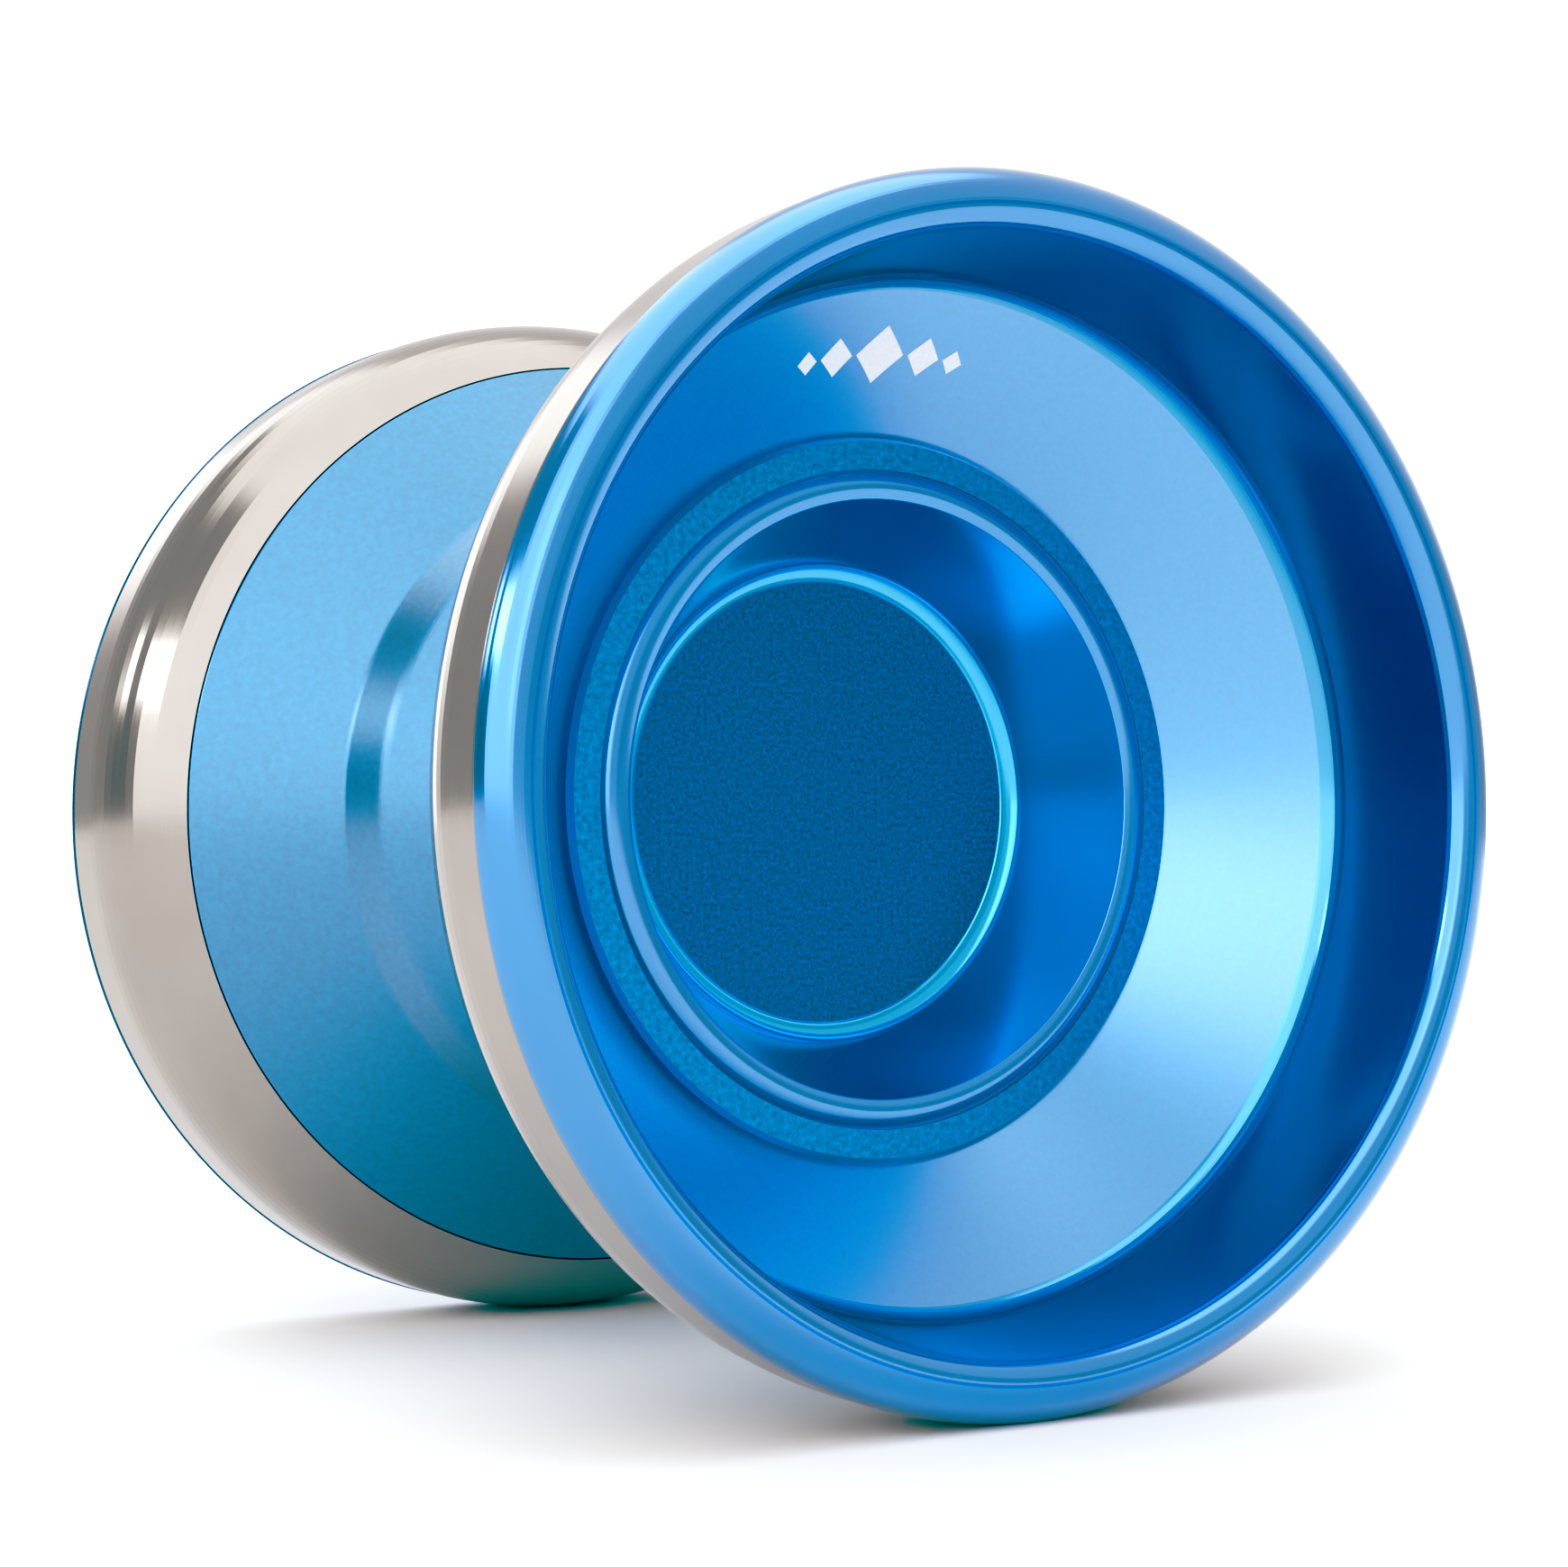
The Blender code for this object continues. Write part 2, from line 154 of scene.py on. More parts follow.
# Bearing: size C, R188
BEARING_BORE = 3.175
BEARING_RADIUS = reach("bearing_outer_race", 0)
BEARING_HALF_WIDTH = reach("bearing_outer_race", 1)
BEARING_CHAMFER = 0.2
BALL_COUNT = 8
BALL_RADIUS = 0.79375
PITCH_RADIUS = 4.7625
RACEWAY_RADIUS = 0.85
INNER_LAND = 4.22
OUTER_LAND = 5.3
SHIELD_SEAT_RADIUS = 5.76
SHIELD_SEAT_FACE = 1.55
CLIP_GROOVE_RADIUS = 5.94
CLIP_GROOVE_NEAR = 1.78
CLIP_GROOVE_FAR = 2.08
MOUTH_RADIUS = 5.74
CAGE_INNER = 4.4
CAGE_OUTER = 5.12
CAGE_BACK = -1.4
CAGE_FRONT = 0.35
CAGE_POCKET_RADIUS = 0.87
CAGE_POCKET_SIDES = 32
SHIELD_INNER = 4.3
SHIELD_OUTER = 5.7
SHIELD_THICKNESS = 0.15
SHIELD_FLANGE_FACE = 1.58
SHIELD_DISH = 0.28
SHIELD_DISH_INNER = 4.9
SHIELD_DISH_OUTER = 5.2
CLIP_INNER = 5.36
CLIP_OUTER = 5.88
CLIP_NEAR = 1.82
CLIP_FAR = 2.04
CLIP_OPENING = 1.6

# Response pads
PAD_INNER = 7.41
PAD_OUTER = 9.54
PAD_FACE = 2.33
PAD_BACK = 3.27
PAD_ROUNDING = 0.25

# Diamonds marked on the cone: place around the axle in degrees and half sizes of each diamond
MARK_MIDDLE_DEG = 96.0
MARK_RADIUS = 21.0
MARK_HALF_LENGTHS = (0.55, 0.9, 1.35, 0.9, 0.55)
MARK_GAP = 0.25
MARK_SLENDERNESS = 1.15
MARK_DEPTH = 0.02
MARK_STEPS = 6

# Fineness of the curves
ARC_STEP_DEG = 5.0
ARC_CHORD = 0.6
SUPPORT = 0.02
SHARP_ANGLE = math.radians(28)

# Colours, linear RGB: each finish wanders between its deep and its light one
BLUE_DEEP = (0.0, 0.20, 0.51)
BLUE_LIGHT = (0.0, 0.22, 0.55)
LAND_DEEP = (0.0, 0.17, 0.52)
LAND_LIGHT = (0.0, 0.19, 0.57)
# The cone's pair is the same dyed blue lifted lighter: painted light, standing in for room light that its
# upper part does not reflect
CONE_BLUE_PAINTED_LIGHT_DEEP = (0.0, 0.245, 0.57)
CONE_BLUE_PAINTED_LIGHT_PALE = (0.0, 0.275, 0.63)
WALL_DEEP = (0.0, 0.24, 0.50)
WALL_LIGHT = (0.0, 0.27, 0.54)
RECESS_DEEP = (0.0, 0.33, 0.64)
RECESS_LIGHT = (0.0, 0.37, 0.70)
BLASTED_DEEP = (0.0, 0.15, 0.35)
BLASTED_LIGHT = (0.0, 0.29, 0.64)
DISC_DEEP = (0.0, 0.045, 0.16)
DISC_LIGHT = (0.0, 0.15, 0.48)
GAP_DEEP = (0.0, 0.15, 0.32)
GAP_LIGHT = (0.0, 0.19, 0.39)
PAD_DEEP = (0.80, 0.82, 0.84)
PAD_LIGHT = (0.90, 0.91, 0.92)
WHITE_DEEP = (0.80, 0.84, 0.88)
WHITE_LIGHT = (0.92, 0.94, 0.96)
RIM_STEEL = (0.37, 0.352, 0.332)
BEARING_STEEL = (0.72, 0.72, 0.73)
SHEET_STEEL = (0.62, 0.62, 0.63)
CAGE_STEEL = (0.66, 0.62, 0.55)
BALL_STEEL = (0.85, 0.85, 0.86)
BLACK_STEEL = (0.07, 0.07, 0.08)
CLEAR_COAT_IOR = 2.0
POLISHED_COAT_IOR = 2.1
SATIN_COAT_IOR = 2.48

# How finishes vary: shares of their roughness and tone, and sizes of cloudy patches in millimetres
COAT_ROUGHNESS = 0.8
ANODISED_SPREAD = (0.96, 1.05)
ANODISED_CLOUDS = 9.0
STEEL_SPREAD = (0.8, 1.25)
STEEL_CLOUDS = 5.0
STEEL_DARKER = 0.94

# Tone curves, as (input, output) points, for all channels together and for red alone
RED_CURVE = 0
COMMON_CURVE = 3
COMMON_TOE = ((0.03, 0.012), (0.06, 0.042), (0.1, 0.083), (0.2, 0.155), (0.3, 0.25), (0.45, 0.43),
              (0.6, 0.6))
RED_TOE = ((0.04, 0.0005), (0.085, 0.003), (0.1, 0.012), (0.125, 0.045), (0.155, 0.105), (0.2, 0.185),
           (0.26, 0.26))

# Studio
FLOOR_HALF_SIZE = 3.0
FLOOR_CLOUDS = 30.0
PAPER_DEEP = (0.94, 0.937, 0.93)
PAPER_LIGHT = (0.95, 0.948, 0.94)
CAMERA_PLACE = (-0.08102, -0.12812, -0.00451)
CAMERA_DIRECTION = (0.5424, 0.8393, 0.0370)
CAMERA_LENS = 67.66
SENSOR_WIDTH = 36.0
WALL_LEVEL = 2.15
SEEN_LEVEL = 1.5

# Patches of the studio's walls: azimuth, elevation, half width, half height, soft edge, radiance
ROOM_PATCHES = (
    (0, 85, 180, 20, 9, 2.1),       # ceiling
    (48, 22, 66, 34, 8, 1.0),       # right wall
    (50, 4, 36, 8, 10, 0.75),       # dark table on the right
    (112, 0, 32, 8, 7, 0.6),        # dark corner on the right
    (140, 32, 28, 24, 9, 1.0),      # grey wall behind
    (-132, 18, 34, 29, 6, 0.62),    # grey panel on the left
    (-93, 44, 17, 10, 6, 0.62),     # its upper corner
    (-113, 12, 12, 12, 7, 0.40),    # black flag in front of it
    (-92, 24, 14, 3, 3, 6.0),       # strip light
    (-124, 22, 4, 4, 3, 4.5),       # small lamp
    (-34, 22, 4, 12, 5, 2.7),       # tall window
)


# ---------------------------------------------------------------- outlines

def arc(centre, radius, start_deg, end_deg):
    """Points of an arc, both ends included, no coarser than ARC_STEP_DEG and ARC_CHORD."""
    sweep = abs(end_deg - start_deg)
    length = math.radians(sweep) * radius
    steps = max(3, math.ceil(sweep / ARC_STEP_DEG), math.ceil(length / ARC_CHORD))
    points = []
    for i in range(steps + 1):
        angle = math.radians(start_deg + (end_deg - start_deg) * i / steps)
        points.append((centre[0] + radius * math.cos(angle), centre[1] + radius * math.sin(angle)))
    return points


def arc_through(first, middle, last):
    """Points of the arc that runs from first to last through middle."""
    (ax, ay), (bx, by), (cx, cy) = first, middle, last
    d = 2 * (ax * (by - cy) + bx * (cy - ay) + cx * (ay - by))
    a2, b2, c2 = ax * ax + ay * ay, bx * bx + by * by, cx * cx + cy * cy
    ux = (a2 * (by - cy) + b2 * (cy - ay) + c2 * (ay - by)) / d
    uy = (a2 * (cx - bx) + b2 * (ax - cx) + c2 * (bx - ax)) / d
    start = math.degrees(math.atan2(ay - uy, ax - ux))
    end = math.degrees(math.atan2(cy - uy, cx - ux))
    middle_angle = math.degrees(math.atan2(by - uy, bx - ux))
    if (middle_angle - start) % 360 > (end - start) % 360:
        end = start - (start - end) % 360
    else:
        end = start + (end - start) % 360
    return arc((ux, uy), math.hypot(ax - ux, ay - uy), start, end)


def rounded(before, corner, after, radius):
    """Points of the arc of the given radius that rounds off a corner."""
    to_before = math.atan2(before[1] - corner[1], before[0] - corner[0])
    to_after = math.atan2(after[1] - corner[1], after[0] - corner[0])
    opening = (to_after - to_before + math.pi) % (2 * math.pi) - math.pi
    half = opening / 2
    away = radius / abs(math.sin(half))
    bisector = to_before + half
    centre = (corner[0] + away * math.cos(bisector), corner[1] + away * math.sin(bisector))
    turn = math.copysign(math.pi - abs(opening), -opening)
    start = to_before - math.copysign(math.pi / 2, opening)
    return arc(centre, radius, math.degrees(start), math.degrees(start + turn))


def threaded_hole():
    """Blind hole for the axle, from its bottom on the axis up to its mouth."""
    return [
        (0, THREAD_HOLE_END),
        (THREAD_HOLE_RADIUS - THREAD_HOLE_CHAMFER, THREAD_HOLE_END),
        (THREAD_HOLE_RADIUS, THREAD_HOLE_END - THREAD_HOLE_CHAMFER),
        (THREAD_HOLE_RADIUS, SEAT_END + THREAD_HOLE_CHAMFER),
        (THREAD_HOLE_RADIUS + THREAD_HOLE_CHAMFER, SEAT_END),
    ]


def bearing_seat():
    """Post inside the inner race, shoulder behind it and pocket around the bearing."""
    return [
        (SEAT_RADIUS - SEAT_CHAMFER, SEAT_END),
        (SEAT_RADIUS, SEAT_END + SEAT_CHAMFER),
        (SEAT_RADIUS, SHOULDER_FACE),
        (SHOULDER_RADIUS, SHOULDER_FACE),
        (SHOULDER_RADIUS, POCKET_FLOOR),
        (POCKET_RADIUS, POCKET_FLOOR),
        (POCKET_RADIUS, RESPONSE_FACE),
    ]


def response_face():
    """Face around the bearing pocket, with the groove for the pad."""
    groove_floor = RESPONSE_FACE + PAD_GROOVE_DEPTH
    return [
        (PAD_GROOVE_INNER, RESPONSE_FACE),
        (PAD_GROOVE_INNER, groove_floor),
        (PAD_GROOVE_OUTER, groove_floor),
        (PAD_GROOVE_OUTER, RESPONSE_FACE),
        (RESPONSE_OUTER, RESPONSE_FACE),
    ]


def gap_wall():
    """Hub and cone that the string runs between, out to the seam with the steel ring."""
    slope = math.atan2(SEAM[1] - GAP_CORNER[1], SEAM[0] - GAP_CORNER[0])
    chamfer_start = (SEAM[0] - SEAM_CHAMFER * math.cos(slope), SEAM[1] - SEAM_CHAMFER * math.sin(slope))
    return [
        *rounded((RESPONSE_OUTER, RESPONSE_FACE), HUB_CORNER, HUB_SHOULDER, HUB_ROUNDING),
        *rounded(HUB_CORNER, HUB_SHOULDER, GAP_CORNER, HUB_SHOULDER_ROUNDING),
        *rounded(HUB_SHOULDER, GAP_CORNER, SEAM, GAP_CORNER_ROUNDING),
        chamfer_start,
    ]


def ring_seat():
    return [
        (SEAM[0], SEAM[1] + SEAM_CHAMFER),
        (SEAM[0], SEAM[1] + RING_NOSE_DEPTH),
        (RING_SEAT_RADIUS, RING_SEAT_START),
        (RING_SEAT_RADIUS, FLANGE_FACE),
    ]


def lip_outside():
    """Large rounding from the flange face up to the crest."""
    height = HALF_WIDTH - LIP_OUTER_ROUNDING
    start = math.asin((FLANGE_FACE - height) / LIP_OUTER_ROUNDING)
    centre = (RIM_RADIUS - LIP_OUTER_ROUNDING * math.cos(start), height)
    return arc(centre, LIP_OUTER_ROUNDING, math.degrees(start), 90)


def lip_inside():
    centre = (LIP_LAND_INNER, HALF_WIDTH - LIP_INNER_ROUNDING)
    return arc(centre, LIP_INNER_ROUNDING, 90, 180)


def cup_wall():
    """Steep inner wall and the fillet at its foot."""
    wall_top = (LIP_LAND_INNER - LIP_INNER_ROUNDING, HALF_WIDTH - LIP_INNER_ROUNDING)
    return rounded(wall_top, CUP_CORNER, CONE_FOOT, CUP_CORNER_ROUNDING)


def bead():
    crest = arc_through((BEAD_OUTER, RING_LAND), BEAD_CREST, BEAD_EDGE)
    return crest[:-1] + rounded(crest[-2], BEAD_EDGE, RECESS_FOOT, BEAD_EDGE_ROUNDING)


def recess_wall():
    return rounded(BEAD_EDGE, RECESS_FOOT, (0, CUP_FLOOR), RECESS_ROUNDING)


def floor_line():
    """Shallow tool mark around the blasted floor."""
    outer = FLOOR_LINE_RADIUS + FLOOR_LINE_WIDTH / 2
    inner = FLOOR_LINE_RADIUS - FLOOR_LINE_WIDTH / 2
    bottom = CUP_FLOOR - FLOOR_LINE_DEPTH
    return [(outer, CUP_FLOOR), (FLOOR_LINE_RADIUS, bottom), (inner, CUP_FLOOR)]


def half_body_zones():
    """Outline of a half body as (zone, points); a zone covers the surface up to its last point."""
    return [
        ("machined", threaded_hole() + bearing_seat() + response_face()),
        ("gap", gap_wall()),
        ("machined", ring_seat()),
        ("polished", lip_outside()),
        ("land", [(LIP_LAND_INNER, HALF_WIDTH)]),
        ("polished", lip_inside()),
        ("wall", cup_wall()),
        ("cone", [CONE_FOOT]),
        ("polished", [(RING_LAND_OUTER, RING_LAND)]),
        ("ring", [(BEAD_OUTER, RING_LAND)]),
        ("polished", bead()),
        ("recess", recess_wall()),
        ("recess", floor_line()),
        ("floor", [(0, CUP_FLOOR)]),
    ]


def rim_ring_zones():
    slope = (SEAM[1] - GAP_CORNER[1]) / (SEAM[0] - GAP_CORNER[0])
    nose = (SEAM[0] + FIT_GAP, SEAM[1] + FIT_GAP * slope)
    corner = (RING_RADIUS, SEAM[1] + (RING_RADIUS - SEAM[0]) * slope)
    outer_end = (RING_RADIUS, RING_END)
    bore = RING_SEAT_RADIUS + FIT_GAP
    return [
        ("steel", [nose]),
        ("steel", rounded(nose, corner, outer_end, RING_ROUNDING)),
        ("steel", rounded(corner, outer_end, (bore, RING_END), RING_EDGE_ROUNDING)),
        ("steel", [(bore, RING_END), (bore, RING_SEAT_START), (nose[0], nose[1] + RING_NOSE_DEPTH)]),
    ]


def pad_zones():
    return [("pad", [
        (PAD_INNER, PAD_BACK),
        *arc((PAD_INNER + PAD_ROUNDING, PAD_FACE + PAD_ROUNDING), PAD_ROUNDING, 180, 270),
        *arc((PAD_OUTER - PAD_ROUNDING, PAD_FACE + PAD_ROUNDING), PAD_ROUNDING, 270, 360),
        (PAD_OUTER, PAD_BACK),
    ])]


def raceway(land):
    """Groove for the balls, cut into the land of one race, from -Y to +Y."""
    side = math.copysign(1, land - PITCH_RADIUS)
    reach_deg = math.degrees(math.acos(abs(land - PITCH_RADIUS) / RACEWAY_RADIUS))
    middle = 0 if side > 0 else 180
    return arc((PITCH_RADIUS, 0), RACEWAY_RADIUS, middle - side * reach_deg, middle + side * reach_deg)


def inner_race_zones():
    end, chamfer = BEARING_HALF_WIDTH, BEARING_CHAMFER
    return [("bearing", [
        *arc((BEARING_BORE + chamfer, end - chamfer), chamfer, 90, 180),
        *arc((BEARING_BORE + chamfer, chamfer - end), chamfer, 180, 270),
        (INNER_LAND, -end),
        *raceway(INNER_LAND),
        (INNER_LAND, end),
    ])]


def outer_race_bore(side):
    """Shield seat, snap ring groove and mouth at one end of the outer race."""
    points = [
        (OUTER_LAND, SHIELD_SEAT_FACE),
        (SHIELD_SEAT_RADIUS, SHIELD_SEAT_FACE),
        (SHIELD_SEAT_RADIUS, CLIP_GROOVE_NEAR),
        (CLIP_GROOVE_RADIUS, CLIP_GROOVE_NEAR),
        (CLIP_GROOVE_RADIUS, CLIP_GROOVE_FAR),
        (MOUTH_RADIUS, CLIP_GROOVE_FAR),
        (MOUTH_RADIUS, BEARING_HALF_WIDTH),
    ]
    return [(radius, side * height) for radius, height in points[::side]]


def outer_race_zones():
    end, chamfer = BEARING_HALF_WIDTH, BEARING_CHAMFER
    return [("bearing", [
        *outer_race_bore(FRONT),
        *raceway(OUTER_LAND),
        *outer_race_bore(REAR),
        *reversed(arc((BEARING_RADIUS - chamfer, end - chamfer), chamfer, 0, 90)),
        *reversed(arc((BEARING_RADIUS - chamfer, chamfer - end), chamfer, 270, 360)),
    ])]


def shield_zones():
    """Thin dished washer: its rim lies on the seat and its middle stands further out."""
    low, high = SHIELD_FLANGE_FACE, SHIELD_FLANGE_FACE + SHIELD_DISH
    inside = [(SHIELD_INNER, high), (SHIELD_DISH_INNER, high), (SHIELD_DISH_OUTER, low), (SHIELD_OUTER, low)]
    outside = [(radius, height + SHIELD_THICKNESS) for radius, height in reversed(inside)]
    return [("sheet", inside + outside)]


def clip_outline():
    return [
        (CLIP_INNER, CLIP_NEAR),
        (CLIP_OUTER, CLIP_NEAR),
        (CLIP_OUTER, CLIP_FAR),
        (CLIP_INNER, CLIP_FAR),
    ]


def cage_zones():
    return [("cage", [
        (CAGE_INNER, CAGE_BACK),
        (CAGE_OUTER, CAGE_BACK),
        (CAGE_OUTER, CAGE_FRONT),
        (CAGE_INNER, CAGE_FRONT),
    ])]


# ------------------------------------------------------------------ meshes

def with_support(points, zones):
    """Adds a point close to each end of every long straight stretch, to keep its shading even."""
    out_points, out_zones = [], []
    for i, (point, zone) in enumerate(zip(points, zones)):
        previous = points[i - 1] if i else points[-1]
        length = math.dist(previous, point)
        if length > 6 * SUPPORT and (i or min(p[0] for p in points) > 0):
            for share in (SUPPORT / length, 1 - SUPPORT / length):
                between = [a + (b - a) * share for a, b in zip(previous, point)]
                out_points.append(tuple(between))
                out_zones.append(zone)
        out_points.append(point)
        out_zones.append(zone)
    return out_points, out_zones


def signed_area(points):
    total = 0.0
    for (x0, z0), (x1, z1) in zip(points, points[1:] + points[:1]):
        total += x0 * z1 - x1 * z0
    return total / 2


def flatten(zone_list):
    points, zones = [], []
    for zone, stretch in zone_list:
        for point in stretch:
            if points and math.dist(points[-1], point) < 1e-6:
                continue
            points.append(point)
            zones.append(zone)
    return points, zones


def turned(name, zone_list, finishes, side=REAR, segments=TURN_SEGMENTS):
    """Closed body turned about the axle from an outline, with one material for each zone."""
    points, zones = with_support(*flatten(zone_list))
    closed = min(radius for radius, height in points) > 0
    flip = signed_area(points) * side < 0
    angles = [2 * math.pi * i / segments for i in range(segments)]
    vertices, rings = [], []
    for radius, height in points:
        around = angles if radius > 0 else [0.0]
        rings.append([len(vertices) + i for i in range(len(around))])
        for angle in around:
            vertices.append((radius * math.cos(angle) * MM, side * height * MM,
                             radius * math.sin(angle) * MM))
    names = sorted(set(zones))
    faces, indices = [], []
    for i in range(len(points) if closed else len(points) - 1):
        here, there = rings[i], rings[(i + 1) % len(points)]
        zone = names.index(zones[(i + 1) % len(points)])
        for k in range(segments):
            corners = [here[k % len(here)], there[k % len(there)],
                       there[(k + 1) % len(there)], here[(k + 1) % len(here)]]
            corners = list(dict.fromkeys(corners))
            faces.append(corners[::-1] if flip else corners)
            indices.append(zone)
    mesh = bpy.data.meshes.new(name)
    mesh.from_pydata(vertices, [], faces)
    mesh.polygons.foreach_set("material_index", indices)
    for zone in names:
        mesh.materials.append(finishes[zone])
    return shaded(name, mesh)


def shaded(name, mesh):
    mesh.shade_smooth()
    mesh.set_sharp_from_angle(angle=SHARP_ANGLE)
    mesh.update()
    piece = bpy.data.objects.new(name, mesh)
    bpy.context.scene.collection.objects.link(piece)
    return piece


def stands_for(piece, node, body):
    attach(piece, body)
    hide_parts(node)
    return piece


def cut(piece, tools):
    """Takes the tools' shapes out of a piece, applies the result and removes the tools."""
    for tool in tools:
        boolean = piece.modifiers.new("cut", "BOOLEAN")
        boolean.operation = "DIFFERENCE"
        boolean.solver = "EXACT"
        boolean.object = tool
    evaluated = piece.evaluated_get(bpy.context.evaluated_depsgraph_get())
    mesh = bpy.data.meshes.new_from_object(evaluated)
    piece.modifiers.clear()
    piece.data = mesh
    mesh.set_sharp_from_angle(angle=SHARP_ANGLE)
    for tool in tools:
        bpy.data.objects.remove(tool)


def prism(name, sides, radius, depth, matrix):
    """Straight prism used as a cutter, in millimetres, along its own Z."""
    mesh = bpy.data.meshes.new(name)
    shape = bmesh.new()
    bmesh.ops.create_cone(shape, cap_ends=True, segments=sides, radius1=radius * MM,
                          radius2=radius * MM, depth=depth * MM)
    shape.to_mesh(mesh)
    shape.free()
    tool = bpy.data.objects.new(name, mesh)
    tool.matrix_world = matrix
    bpy.context.scene.collection.objects.link(tool)
    return tool


# --------------------------------------------------------------- materials

class Nodes:
    """Short calls for adding and linking the nodes of one tree."""

    def __init__(self, tree):
        self.tree = tree

    def put(self, socket, value):
        if isinstance(value, bpy.types.NodeSocket):
            self.tree.links.new(value, socket)
        else:
            socket.default_value = value

    def add(self, kind, settings=None, **inputs):
        made = self.tree.nodes.new("ShaderNode" + kind)
        for key, value in (settings or {}).items():
            setattr(made, key, value)
        for key, value in inputs.items():
            self.put(made.inputs[key.replace("_", " ")], value)
        return made

    def maths(self, operation, *values):
        made = self.tree.nodes.new("ShaderNodeMath")
        made.operation = operation
        for socket, value in zip(made.inputs, values):
            self.put(socket, value)
        return made.outputs[0]


class Finish(Nodes):
    """Material made of nodes around one Principled shader."""

    def __init__(self, name):
        self.material = bpy.data.materials.new(name)
        self.material.use_nodes = True
        super().__init__(self.material.node_tree)
        self.shader = self.tree.nodes["Principled BSDF"]

    def set(self, **inputs):
        for key, value in inputs.items():
            self.put(self.shader.inputs[key.replace("_", " ")], value)

    def around(self):
        """Radius, distance along the axle and unit direction around it, in millimetres."""
        place = self.add("TexCoord").outputs["Object"]
        split = self.add("SeparateXYZ", Vector=place)
        x, y, z = (self.maths("DIVIDE", split.outputs[i], MM) for i in range(3))
        radius = self.maths("SQRT", self.maths("ADD", self.maths("MULTIPLY", x, x),
                                               self.maths("MULTIPLY", z, z)))
        safe = self.maths("MAXIMUM", radius, 0.01)
        return radius, y, self.maths("DIVIDE", x, safe), self.maths("DIVIDE", z, safe)

    def turning_lines(self, spacing, waviness):
        """Noise that is drawn out around the axle, as a cutting tool leaves it."""
        radius, along, cosine, sine = self.around()
        across = self.maths("DIVIDE", self.maths("ADD", radius, along), spacing)
        vector = self.add("CombineXYZ", X=across, Y=self.maths("MULTIPLY", cosine, waviness),
                          Z=self.maths("MULTIPLY", sine, waviness)).outputs[0]
        return self.add("TexNoise", Vector=vector, Scale=1.0, Detail=3.0, Roughness=0.6).outputs["Fac"]

    def grain(self, size, detail=2.0):
        """Even noise with grains of the given size in millimetres."""
        place = self.add("TexCoord").outputs["Object"]
        return self.add("TexNoise", Vector=place, Scale=1.0 / (size * MM), Detail=detail,
                        Roughness=0.6).outputs["Fac"]

    def spread(self, value, low, high):
        """Maps noise from its usual 0.3 to 0.7 onto low to high."""
        made = self.add("MapRange", Value=value)
        made.inputs["From Min"].default_value = 0.3
        made.inputs["From Max"].default_value = 0.7
        made.inputs["To Min"].default_value = low
        made.inputs["To Max"].default_value = high
        return made.outputs["Result"]

    def blend(self, factor, first, second):
        made = self.add("Mix", {"data_type": "RGBA"})
        self.put(made.inputs["Factor"], factor)
        self.put(made.inputs[6], (*first, 1.0))
        self.put(made.inputs[7], (*second, 1.0))
        return made.outputs[2]

    def bump(self, height, depth, normal=None):
        """Relief of the given depth in millimetres."""
        made = self.add("Bump", Strength=1.0, Distance=depth * MM, Height=height)
        if normal is not None:
            self.put(made.inputs["Normal"], normal)
        return made.outputs["Normal"]

    def brushed_around(self, amount):
        tangent = self.add("Tangent", {"direction_type": "RADIAL", "axis": "Y"})
        self.set(Anisotropic=amount, Tangent=tangent.outputs[0])


def anodised(name, roughness, lines=0.0, spacing=0.05, grains=0.0, grain_size=0.2, brushed=0.0,
             deep=BLUE_DEEP, light=BLUE_LIGHT, coat=1.0, coat_ior=CLEAR_COAT_IOR):
    """Dyed anodised aluminium under its clear sealed layer.

    Turned zones carry fine lines around the axle; blasted zones carry grains that
    also break up the colour.
    """
    finish = Finish("anodised_" + name)
    streaks = finish.turning_lines(spacing, 2.0)
    speckle = finish.grain(grain_size)
    tone = finish.grain(grain_size) if grains else finish.grain(ANODISED_CLOUDS, 1.0)
    finish.set(Metallic=1.0, Coat_Weight=coat, Coat_Roughness=roughness * COAT_ROUGHNESS,
               Coat_IOR=coat_ior,
               Roughness=finish.spread(streaks, *(roughness * share for share in ANODISED_SPREAD)),
               Base_Color=finish.blend(finish.spread(tone, 0.0, 1.0), deep, light))
    normal = None
    if lines:
        normal = finish.bump(streaks, lines)
    if grains:
        normal = finish.bump(speckle, grains, normal)
    if normal is not None:
        finish.set(Normal=normal)
    if brushed:
        finish.brushed_around(brushed)
    return finish.material


def steel(name, colour, roughness, lines=0.0, spacing=0.04, brushed=0.0):
    finish = Finish(name)
    streaks = finish.turning_lines(spacing, 2.5)
    clouds = finish.grain(STEEL_CLOUDS, 3.0)
    darker = tuple(STEEL_DARKER * c for c in colour)
    finish.set(Metallic=1.0,
               Roughness=finish.spread(streaks, *(roughness * share for share in STEEL_SPREAD)),
               Base_Color=finish.blend(finish.spread(clouds, 0.0, 1.0), darker, colour))
    if lines:
        finish.set(Normal=finish.bump(streaks, lines))
    if brushed:
        finish.brushed_around(brushed)
    return finish.material


def silicone(name):
    finish = Finish(name)
    finish.set(Base_Color=finish.blend(finish.spread(finish.grain(0.6), 0.0, 1.0),
                                       PAD_DEEP, PAD_LIGHT),
               Roughness=0.62, Subsurface_Weight=0.3, Subsurface_Radius=(0.8, 0.8, 0.9),
               Subsurface_Scale=MM, Normal=finish.bump(finish.grain(0.08), 0.01))
    return finish.material


def white_mark(name):
    finish = Finish(name)
    finish.set(Base_Color=finish.blend(finish.spread(finish.grain(0.1), 0.0, 1.0),
                                       WHITE_DEEP, WHITE_LIGHT),
               Roughness=0.5, Normal=finish.bump(finish.grain(0.06), 0.006))
    return finish.material


